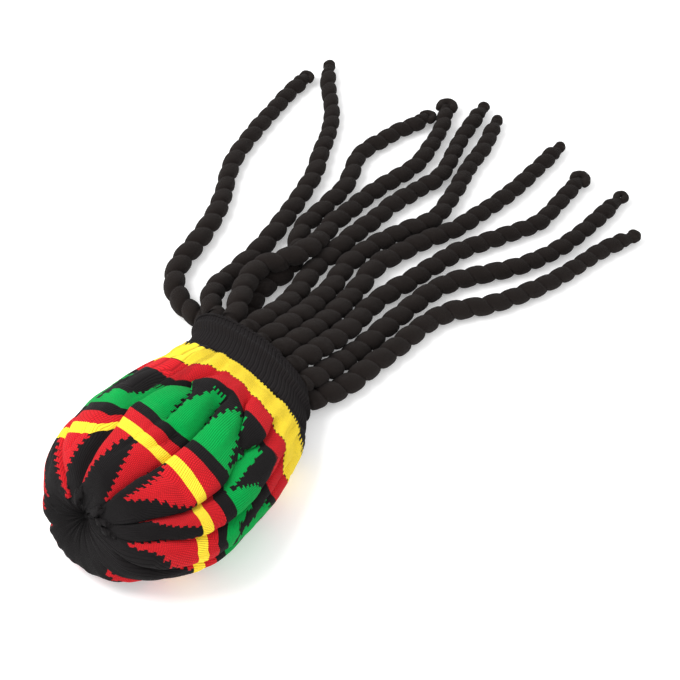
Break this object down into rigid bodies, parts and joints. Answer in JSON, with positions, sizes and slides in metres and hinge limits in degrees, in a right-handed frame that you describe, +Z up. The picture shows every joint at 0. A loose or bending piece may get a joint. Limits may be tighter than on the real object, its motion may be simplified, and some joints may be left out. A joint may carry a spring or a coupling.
{
  "type": "knit beret with dreadlocks",
  "caption": "Slouchy jacquard-knit cap gathered at its crown, with a ribbed cuff whose hem carries long free twisted rope locks, lying on its side.",
  "frame": {"origin": "On the table under the middle of the cap's own box, measured without the locks", "axes": "+Z up from the table the cap lies on; +Y from the gathered crown to the open cuff and the locks; +X across the cap"},
  "size_m": [0.4609, 0.7732, 0.1145],
  "materials": {
    "jacquard_knit": "jacquard knit in red, yellow, green and black",
    "black_rib": "matte ribbed knit",
    "black_jersey_rope": "matte twisted jersey"
  },
  "bodies": {
    "root": {"crown": "jacquard_knit", "cuff": "black_rib", "lock_01": "black_jersey_rope", "lock_02": "black_jersey_rope", "lock_03": "black_jersey_rope", "lock_04": "black_jersey_rope", "lock_05": "black_jersey_rope", "lock_06": "black_jersey_rope", "lock_07": "black_jersey_rope", "lock_08": "black_jersey_rope", "lock_09": "black_jersey_rope", "lock_10": "black_jersey_rope", "lock_01_tip": "black_jersey_rope", "lock_02_tip": "black_jersey_rope", "lock_03_tip": "black_jersey_rope", "lock_04_tip": "black_jersey_rope", "lock_05_tip": "black_jersey_rope", "lock_06_tip": "black_jersey_rope", "lock_07_tip": "black_jersey_rope", "lock_08_tip": "black_jersey_rope", "lock_09_tip": "black_jersey_rope", "lock_10_tip": "black_jersey_rope"}
  },
  "joints": []
}
